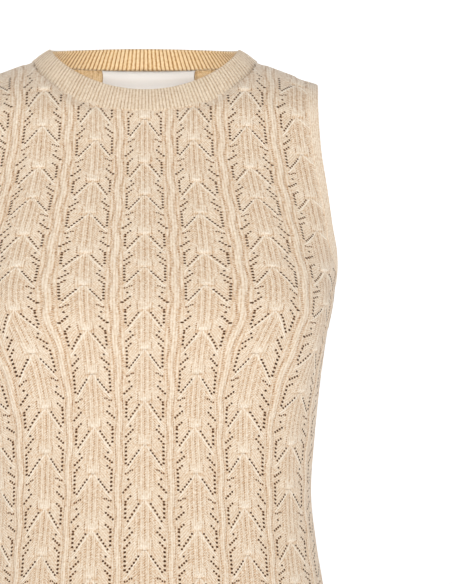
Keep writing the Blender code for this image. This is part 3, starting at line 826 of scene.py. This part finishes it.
# ------------------------------------------------------------
# Inside of the panels. The purl side of the same knit, in warmer colours painted for the shade
# and warm bounced light inside the body, with the same eyelets, and between the two faces a
# dark sheet of painted shade that the eyelets show.

INSIDE_DEPTH = 0.0018
SHADE_SHEET_DEPTH = 0.0009
SHADE_SHEET_EVERY = 2
SHADE_SHEET_NECK = 0.0005
SHADE_SHEET_ARMHOLE = 0.0080
# Colours of the inside: the same yarn painted warmer and darker for the shade and bounced light
# inside the body.
PAINTED_INSIDE_SHADES = ((140, 96, 50), (198, 158, 106), (224, 192, 144), (240, 216, 176))
# Colours of the dark sheet between the faces: painted shade seen through the eyelets.
SHADE_SHEET_COLOURS = ((84, 52, 24), (90, 57, 28), (98, 64, 34), (110, 72, 40))
inside_knit = knit_finish("inside of the knit", PAINTED_INSIDE_SHADES, WALE_PITCH, COURSE_PITCH,
                          STITCH_DEPTH, True)
shade_sheet_finish = knit_finish("painted shade behind the eyelets", SHADE_SHEET_COLOURS, WALE_PITCH, COURSE_PITCH,
                        STITCH_DEPTH, False)


def shade_sheet(side):
    """A dark sheet of painted shade behind the eyelets: the knit without eyelets, moved inwards, on
    every second column and course.
    """
    columns = np.append(knit_columns()[:-1:SHADE_SHEET_EVERY], SIDE_REPEAT)
    rows = np.append(knit_rows()[:-1:SHADE_SHEET_EVERY], knit_rows()[-1])
    repeats, courses = np.meshgrid(columns, rows, indexing="ij")
    points, tones = knit_surface(side, repeats, courses, SHADE_SHEET_DEPTH)
    neck = neck_margin(side, points)
    arm = armhole_distance(repeats, points[..., 2])
    kept = ((neck > SHADE_SHEET_NECK) & (arm > SHADE_SHEET_ARMHOLE)).ravel()
    quads = grid_quads(points.shape[:2])
    quads = quads[kept[quads].all(-1)]
    quads = quads[:, ::-1] if side == FRONT else quads
    knit = np.stack([repeats * COLUMN_WIDTH, courses * REPEAT_LENGTH], -1)
    return points, quads, knit, tones


for side, name in SIDES:
    for piece in (make_piece(f"{name}_inside", *knit_panel(side, INSIDE_DEPTH), inside_knit),
                  plain_piece(f"{name}_painted_shade_sheet", *shade_sheet(side), shade_sheet_finish)):
        place_for(f"{name}_panel", piece)


# ------------------------------------------------------------
# Tuck bows. At the foot of every leaf the knitting gathers four wales under a short raised bar
# of held loops. The bar is painted lighter as a highlight, and the dark curved line along its
# lower edge is a painted shadow. Same yarn as the panels.

BOW_WIDTH = 5.7
BOW_TALL = 4.6
BOW_SMILE = 0.9
BOW_PROUD = 1.3
BOW_BASE = -0.5
BOW_TAPER, BOW_STRANDS = 0.12, 0.18
BOW_PAINTED_HIGHLIGHT, BOW_PAINTED_SHADOW, BOW_SHADOW_FROM = 0.82, 0.16, 0.72
BOW_ARMHOLE, BOW_NECK, BOW_HEM, BOW_TOP = 0.019, 0.006, 0.006, 0.1
BOWS = (0.0, SECOND_BOW)
BOW_GRID = (11, 8)


def tuck_bows(side):
    """All bows of a panel: each is a low cushion, (1 - a^4) sin(pi b)^0.6 high, across a from
    -1 to 1 and down b from 0 to 1, whose lower edge bends down at its middle."""
    a, b = np.meshgrid(np.linspace(-1, 1, BOW_GRID[0]), np.linspace(0, 1, BOW_GRID[1]),
                       indexing="ij")
    columns = np.arange(-3, 4)[:, None]
    courses = np.arange(-2, 6)[:, None] + np.array(BOWS)[None] / REPEAT_LENGTH
    centre_course = courses.ravel()[None] + column_shift(columns)
    centre_repeat = np.broadcast_to(columns, centre_course.shape)
    places = cloth(side, centre_repeat, centre_course)
    shown = armhole_distance(centre_repeat, places[..., 2]) > BOW_ARMHOLE
    shown &= (neck_margin(side, places) > BOW_NECK) & (places[..., 2] > HEM_TOP + BOW_HEM)
    shown &= centre_course > TOP_COURSE + BOW_TOP
    centre_repeat, centre_course = centre_repeat[shown], centre_course[shown]
    across = BOW_WIDTH * a * (1 - BOW_TAPER * b)
    down = BOW_TALL * (b - 1) + BOW_SMILE * (1 - a**2) * b
    repeat = centre_repeat[:, None, None] + across / COLUMN_WIDTH
    course = centre_course[:, None, None] + down / REPEAT_LENGTH
    high = BOW_BASE + (BOW_PROUD - BOW_BASE) * (1 - a**4) * np.sin(np.pi * b) ** 0.6
    strands = BOW_STRANDS * np.cos(a * 4 * np.pi) * np.sin(np.pi * b)
    points, outs = cloth_frame(side, repeat, course)
    points = points + outs * ((high + strands) / 1000)[..., None]
    # Painted shadow along the bar's lower edge, and a painted highlight on the bar.
    edge = np.clip((b - BOW_SHADOW_FROM) / (1 - BOW_SHADOW_FROM), 0, 1)
    tone = BOW_PAINTED_HIGHLIGHT - BOW_PAINTED_SHADOW * edge * (1 - a**6) + 0 * repeat
    knit = np.stack([repeat * COLUMN_WIDTH, course * REPEAT_LENGTH], -1)
    each = grid_quads(BOW_GRID)
    quads = (np.arange(len(points))[:, None, None] * a.size + each).reshape(-1, 4)
    quads = quads[:, ::-1] if side == FRONT else quads
    return points, quads, knit, tone


for side, name in SIDES:
    piece = plain_piece(f"{name}_tuck_bows", *tuck_bows(side), pointelle)
    place_for(f"{name}_panel", piece)


# ------------------------------------------------------------
# Armhole borders. The outer 11 mm round each armhole is plain knitting that runs along the edge,
# made in one with the panel: fine upright wales, and an edge that turns over softly.

BORDER_WIDTH = 0.0110
BORDER_WALL = 0.0020
BORDER_LIFT = 0.0004
BORDER_WALES = 8
WALE_RISE, WALE_PAINTED_LIGHT = 0.00022, (0.55, 0.25)
BORDER_STEPS = 150
BORDER_TOP, UNDERARM_RUN = -0.0325, 1.2
BORDER_SINK = 0.0006
EDGE_ROUND = 0.0009
BORDER_INSIDE = 0.0070


def course_at(repeat, height):
    """The knit course that has this height in a column, by halving the range 36 times."""
    low = np.full(np.shape(height), TOP_COURSE)
    high = np.full(np.shape(height), 6.0)
    for _ in range(36):
        middle = (low + high) / 2
        above = course_height(np.abs(repeat), middle) > height
        low, high = np.where(above, middle, low), np.where(above, high, middle)
    return (low + high) / 2


def run_along(points):
    """Millimetres along a line of points."""
    steps = np.linalg.norm(np.diff(points, axis=0), axis=1)
    return np.concatenate([[0], np.cumsum(steps)]) * 1000


def armhole_border(side, hand):
    """A strip along the armhole: its edge is the edge column and then a quarter oval, and each
    point of it steps square to that edge along the cloth, with a profile that goes over the
    outside, round the edge and back under."""
    length = BORDER_TOP - ARMHOLE_TURN
    length = length / (length + UNDERARM_RUN * ARMHOLE_DROP)
    t = np.linspace(0, 1, BORDER_STEPS)
    turn = np.clip((t - length) / (1 - length), 0, 1) * math.pi / 2
    edge_repeat = EDGE_REPEAT + (SIDE_REPEAT - EDGE_REPEAT) * (1 - np.cos(turn))
    top = float(column_top(np.array([EDGE_REPEAT]))[0])
    straight = top + (ARMHOLE_TURN - top) * np.clip(t / length, 0, 1)
    edge_height = np.where(t < length, straight, ARMHOLE_TURN - ARMHOLE_DROP * np.sin(turn))
    edge_course = course_at(edge_repeat, edge_height)
    edge, out = cloth_frame(side, hand * edge_repeat, edge_course)
    along = unit(np.gradient(edge, axis=0))
    into = unit(np.cross(along, out)) * -side * hand
    step = 0.01
    by_repeat = (cloth(side, hand * (edge_repeat - step), edge_course) - edge) / -step
    by_course = (cloth(side, hand * edge_repeat, edge_course + step) - edge) / step
    basis = np.stack([by_repeat, by_course], -1)
    slide = np.linalg.pinv(basis) @ into[..., None]

    wales = BORDER_WALES * 4
    outer = np.linspace(1, 0, wales + 1)[:, None]
    rise = WALE_RISE * (1 - np.cos(outer * BORDER_WALES * 2 * math.pi)) / 2
    inset = BORDER_WIDTH * outer + EDGE_ROUND * (1 - outer)
    lift = BORDER_LIFT + rise - (BORDER_LIFT + BORDER_SINK) * np.clip(outer * 8 - 7, 0, 1)
    round_turn = np.linspace(0, math.pi, 9)[1:, None]
    half_wall = (BORDER_WALL + BORDER_LIFT) / 2
    inset = np.concatenate([inset, EDGE_ROUND * (1 - np.sin(round_turn)),
                            np.linspace(0.002, BORDER_INSIDE, 4)[:, None]])
    lift = np.concatenate([lift, BORDER_LIFT - half_wall * (1 - np.cos(round_turn)),
                           np.full((4, 1), BORDER_LIFT - 2 * half_wall)])
    # Tone lighter on each raised wale and darker between them: painted light and shade.
    tone = np.concatenate([WALE_PAINTED_LIGHT[0] + WALE_PAINTED_LIGHT[1] * rise / WALE_RISE,
                           np.full((12, 1), EDGE_TONE)])
    repeat = edge_repeat + slide[:, 0, 0] * inset
    course = np.maximum(edge_course + slide[:, 1, 0] * inset, TOP_COURSE)
    repeat = np.minimum(repeat, SIDE_REPEAT) * hand
    points, outs = cloth_frame(side, repeat, course)
    points = (points + outs * lift[..., None]).transpose(1, 0, 2)
    tone = np.broadcast_to(tone, repeat.shape).T
    run = run_along(edge)
    knit = np.stack([np.broadcast_to(inset * 1000, repeat.shape).T,
                     np.broadcast_to(run, repeat.shape).T], -1)
    return points, knit, tone


for side, name in SIDES:
    for hand, hand_name in ((-1, "right"), (1, "left")):
        piece = grid_piece(f"{name}_armhole_border_{hand_name}", *armhole_border(side, hand),
                           pointelle, flipped=side * hand > 0)
        place_for(f"{name}_panel", piece)


# ------------------------------------------------------------
# Neckband. A strip of one-by-one rib, knitted apart, folded along its top edge and linked onto
# the panels: 144 round ribs stand up all round, and its inside shows across the back.

NECK_RIBS = 144
RIB_SAMPLES = 8
RIB_RISE = 0.0006
RIB_SHARP = 0.7
RIB_PAINTED_LIGHT = (0.34, 0.46)
INSIDE_RIB_PAINTED_SHADE = (-0.08, 0.98)
RIB_SPREAD = 0.161
SIDE_SPREAD = 0.22
BAND_WALL = 0.0024
BAND_BULGE = 0.0007
BAND_LAP = 0.0024
INSIDE_LAP = -0.0005
RIB_SHADES = ((132, 94, 62), (192, 162, 130), (216, 195, 168), (238, 222, 200))
RIB_STITCH = (1.65, 1.0, 0.0004)
RIB_WIDTH, BAND_HEIGHT = 3.6, 18
OUTER_ROWS = 14
SEAM_SINK, RIB_LIFT = -0.0018, 0.0004
rib_knit = knit_finish("beige rib knit", RIB_SHADES, *RIB_STITCH, False)
# The band's inside takes the colours painted for the shade inside the body.
rib_inside = knit_finish("beige rib knit inside", PAINTED_INSIDE_SHADES, *RIB_STITCH, False)


def rib_crest(phase):
    """A round rib: 1 on its crest and 0 in the groove, |cos| of half the turn to a power."""
    return np.abs(np.cos(phase / 2)) ** RIB_SHARP


def neckband():
    """The band round the neck: each row is a share of the way from the seam to the top edge and
    a distance out of it. The rows climb the outside, turn over the fold and come down inside.
    The ribs lie about twice as far apart over the shoulders as in front."""
    turns = np.arange(NECK_RIBS * RIB_SAMPLES) * 2 * math.pi / (NECK_RIBS * RIB_SAMPLES)
    even = np.linspace(0, 2 * math.pi, 4000)
    placed = even + RIB_SPREAD * (np.cos(even) - 1) - SIDE_SPREAD * np.sin(2 * even) / 2
    angles = np.interp(turns, placed, even)
    seam, down, out = neck_frame(angles)
    top = neck_ring(NECK_TOP, angles)
    fold = np.linspace(0, math.pi, 9)
    radius = BAND_WALL / 2
    climb = np.linspace(0, 1, 9)
    share = np.concatenate([np.zeros(3), climb[1:-1], np.ones(9), climb[::-1][1:], [0.0]])
    drop = np.concatenate([[BAND_LAP, BAND_LAP, BAND_LAP * 0.4], np.zeros(7),
                           radius * (1 - np.sin(fold)), np.zeros(8), [INSIDE_LAP]])
    bulge = BAND_BULGE * np.sin(np.pi * climb)
    proud = np.concatenate([[SEAM_SINK, 0.0003, 0.0006], RIB_LIFT + bulge[1:-1],
                            radius * np.cos(fold) - radius + RIB_LIFT,
                            np.full(9, RIB_LIFT - BAND_WALL)])
    ribbed = np.concatenate([[0, 0.7], np.ones(8), np.cos(fold), np.full(9, -0.7)])
    base = seam[:, None] + (top - seam)[:, None] * share[None, :, None]
    crest = rib_crest(turns * NECK_RIBS)[:, None] * RIB_RISE
    points = base + down[:, None] * drop[None, :, None]
    points = points + out[:, None] * (proud + crest * ribbed)[..., None]
    outer = np.arange(len(share)) < OUTER_ROWS
    # Rib crests painted lighter and grooves darker: painted light and shade, stronger on the
    # inside.
    tones = np.where(outer, RIB_PAINTED_LIGHT[0] + RIB_PAINTED_LIGHT[1] * crest / RIB_RISE,
                     INSIDE_RIB_PAINTED_SHADE[0] + INSIDE_RIB_PAINTED_SHADE[1] * crest / RIB_RISE)
    knit = np.stack(np.broadcast_arrays(turns[:, None] * NECK_RIBS * RIB_WIDTH / (2 * math.pi),
                                        share[None] * BAND_HEIGHT - drop[None] * 1000), -1)
    return points, knit, tones


points, knit, tones = neckband()
band = grid_piece("neckband_rib", points, knit, tones, rib_knit, closed=True)
band.data.materials.append(rib_inside)
row = np.arange(len(band.data.polygons)) % (points.shape[1] - 1)
band.data.polygons.foreach_set("material_index", (row > OUTER_ROWS).astype(np.int32))
place_for("neckband", band)


# ------------------------------------------------------------
# Hem welts. The lower edge is a turned welt of the same rib, 22 mm deep, one on each panel, and
# it follows the panel's width without drawing in.

HEM_BOTTOM = -0.570
HEM_WALL = 0.0022
HEM_RIB = 3.3
HEM_LAPS, HEM_SINK, HEM_INSIDE = (0.0022, 0.0016), -0.0012, 0.004


def hem_welt(side):
    """A welt: ribs of equal width along the oval at each height, over the outside, round the
    bottom edge and up inside."""
    fine = np.linspace(-SIDE_REPEAT, SIDE_REPEAT, 800)
    course = np.full(fine.shape, float(knit_rows()[-1]))
    edge = cloth(side, fine, course)
    run = run_along(edge)
    ribs = int(round(run[-1] / HEM_RIB))
    place = np.linspace(0, run[-1], ribs * RIB_SAMPLES + 1)
    repeat = np.interp(place, run, fine)
    fold = np.linspace(0, math.pi, 7)
    radius = HEM_WALL / 2
    heights = np.concatenate([[HEM_TOP + HEM_LAPS[0], HEM_TOP + HEM_LAPS[1]],
                              np.linspace(HEM_TOP, HEM_BOTTOM + radius, 8),
                              HEM_BOTTOM + radius - radius * np.sin(fold[1:]),
                              np.linspace(HEM_BOTTOM + HEM_INSIDE, HEM_TOP, 5)])
    proud = np.concatenate([[HEM_SINK, 0.0003], np.full(8, RIB_LIFT),
                            radius * np.cos(fold[1:]) - radius + RIB_LIFT,
                            np.full(5, RIB_LIFT - HEM_WALL)])
    ribbed = np.concatenate([[0, 0.7], np.ones(8), np.cos(fold[1:]), np.full(5, -0.7)])
    repeats, heights = np.meshgrid(repeat, heights, indexing="ij")
    x, depth = oval_place(side, np.abs(repeats), heights)
    points = np.stack([np.sign(repeats) * x, side * depth, heights], -1)
    across = np.gradient(points, axis=0)
    outs = unit(np.stack([across[..., 1], -across[..., 0], np.zeros(across.shape[:2])], -1) * -side)
    crest = rib_crest(place * 2 * math.pi / HEM_RIB + math.pi)[:, None]
    points = points + outs * (proud + RIB_RISE * crest * ribbed)[..., None]
    # Rib crests painted lighter and grooves darker: painted light and shade.
    tones = np.broadcast_to(RIB_PAINTED_LIGHT[0] + RIB_PAINTED_LIGHT[1] * crest, heights.shape)
    knit = np.stack([np.broadcast_to(place[:, None], heights.shape), heights * 1000], -1)
    return points, knit, tones


for side, name in SIDES:
    piece = grid_piece(f"{name}_hem_rib", *hem_welt(side), rib_knit, flipped=side == FRONT)
    place_for(f"hem_{name}", piece)


# ------------------------------------------------------------
# Neck label. A blank strip of off-white woven satin tape inside the back, taken as folded double
# along its lower edge, with both its long edges caught in the neckband seam.

LABEL_REPEATS = (-0.90, 1.08)
LABEL_HEIGHTS = (-0.0135, -0.0480)
LABEL_GAP = 0.0026
LABEL_WALL = 0.0009
LABEL_COLUMNS, LABEL_ROWS, LABEL_ROUND = 90, 24, 0.0004


def neck_label():
    """The tape: a closed loop of rows down its face, round its lower edge and up its back, each
    the cloth of the back moved inwards."""
    repeat = np.linspace(*LABEL_REPEATS, LABEL_COLUMNS)
    fold = np.linspace(0, math.pi, 7)[1:-1]
    down = np.linspace(*LABEL_HEIGHTS, LABEL_ROWS)
    heights = np.concatenate([down, down[-1] - LABEL_ROUND * np.sin(fold), down[::-1]])
    face = np.ones(LABEL_ROWS)
    inward = LABEL_GAP + LABEL_WALL / 2 * np.concatenate([face, np.cos(fold), -face])
    repeats, heights = np.meshgrid(repeat, heights, indexing="ij")
    courses = course_at(repeats, heights)
    points, outs = cloth_frame(BACK, repeats, courses)
    points = points - outs * inward[None, :, None]
    return points, repeats, heights


tape, tape_shader = new_finish("off-white woven tape", 0.5, 0.05, 0.4)
weave = add_node(tape, "ShaderNodeTexWave",
                 {"Vector": add_node(tape, "ShaderNodeUVMap", uv_map="knit").outputs[0],
                  "Scale": 1.3, "Distortion": 0.4}, bands_direction="Y")
ramp = add_node(tape, "ShaderNodeValToRGB", {0: weave.outputs["Fac"]})
ramp.color_ramp.elements[0].color = linear(224, 221, 216)
ramp.color_ramp.elements[1].color = linear(238, 236, 233)
bump = add_node(tape, "ShaderNodeBump", {"Height": weave.outputs["Fac"], "Distance": 0.0001})
colour_and_bump(tape, tape_shader, ramp, bump)

points, repeats, heights = neck_label()
knit = np.stack([repeats * COLUMN_WIDTH, heights * 1000], -1)
label = grid_piece("neck_label_tape", points, knit, np.ones(repeats.shape), tape)
place_for("neck_label", label)


# ------------------------------------------------------------
# Studio: a pale floor that sweeps up into the backdrop, three large soft lights, a small card
# inside the neck and a white room.

FLOOR = -0.572
SWEEP = 1.2
SWEEP_BACK = 6.0
FLOOR_FRONT, WALL_TOP, SWEEP_HALF = -9.0, 5.0, 8


def sweep_profile():
    """Floor, quarter circle and wall as one line of (y, z) points."""
    turn = np.linspace(0, math.pi / 2, 24)
    curve_y = SWEEP_BACK - SWEEP + SWEEP * np.sin(turn)
    curve_z = FLOOR + SWEEP - SWEEP * np.cos(turn)
    line_y = np.concatenate([[FLOOR_FRONT], curve_y, [SWEEP_BACK]])
    return line_y, np.concatenate([[FLOOR], curve_z, [WALL_TOP]])


paper, paper_shader = new_finish("white backdrop paper", 0.9, 0.0, 0.2)
paper_shader.inputs["Base Color"].default_value = (0.93, 0.93, 0.93, 1.0)
paper_shader.inputs["Emission Color"].default_value = (1.0, 1.0, 1.0, 1.0)
paper_shader.inputs["Emission Strength"].default_value = 0.42
line_y, line_z = sweep_profile()
x, y = np.meshgrid([-SWEEP_HALF, SWEEP_HALF], line_y, indexing="ij")
points = np.stack([x, y, np.broadcast_to(line_z, y.shape)], -1)
floor = grid_piece("studio_sweep", points, points[..., :2], np.ones(x.shape), paper)

world = bpy.data.worlds.new("white room")
bpy.context.scene.world = world
world.use_nodes = True
world.node_tree.nodes["Background"].inputs["Color"].default_value = (1.0, 1.0, 1.0, 1.0)
world.node_tree.nodes["Background"].inputs["Strength"].default_value = 0.55
bpy.context.scene.view_settings.view_transform = "Standard"

# Lights: name, place, aim, size and power.
LIGHTS = (
    ("key_softbox", (-1.3, -2.3, 1.2), (0.0, 0.0, -0.25), 1.6, 20.0),
    ("fill_softbox", (1.7, -1.9, 0.3), (0.0, 0.0, -0.25), 1.6, 7.0),
    ("front_softbox", (0.3, -3.4, -0.2), (0.0, 0.0, -0.3), 1.4, 31.0),
    ("neck_card", (0.0, 0.0, -0.085), (0.0, 0.08, -0.010), 0.07, 0.068),
)
for name, place, aim, size, power in LIGHTS:
    light = bpy.data.lights.new(name, "AREA")
    light.shape = "SQUARE"
    light.size = size
    light.energy = power
    lamp = bpy.data.objects.new(name, light)
    lamp.location = place
    lamp.rotation_euler = (Vector(aim) - Vector(place)).to_track_quat("-Z", "Y").to_euler()
    lamp.visible_camera = False
    bpy.context.collection.objects.link(lamp)


# ------------------------------------------------------------
# Camera: straight on from 3 m at mid height, aimed so that the top sits left of the frame and
# its hem is below it.

CAMERA_PLACE = Vector((0.0, -3.0, -0.2246))
CAMERA_AIM = Vector((0.0756, 0.0, -0.2246))
camera_data = bpy.data.cameras.new("front_camera")
camera_data.sensor_width = 36.0
camera_data.lens = 198.9
camera = bpy.data.objects.new("front_camera", camera_data)
camera.location = CAMERA_PLACE
camera.rotation_euler = (CAMERA_AIM - CAMERA_PLACE).to_track_quat("-Z", "Y").to_euler()
bpy.context.collection.objects.link(camera)
bpy.context.scene.camera = camera

bpy.context.view_layer.update()
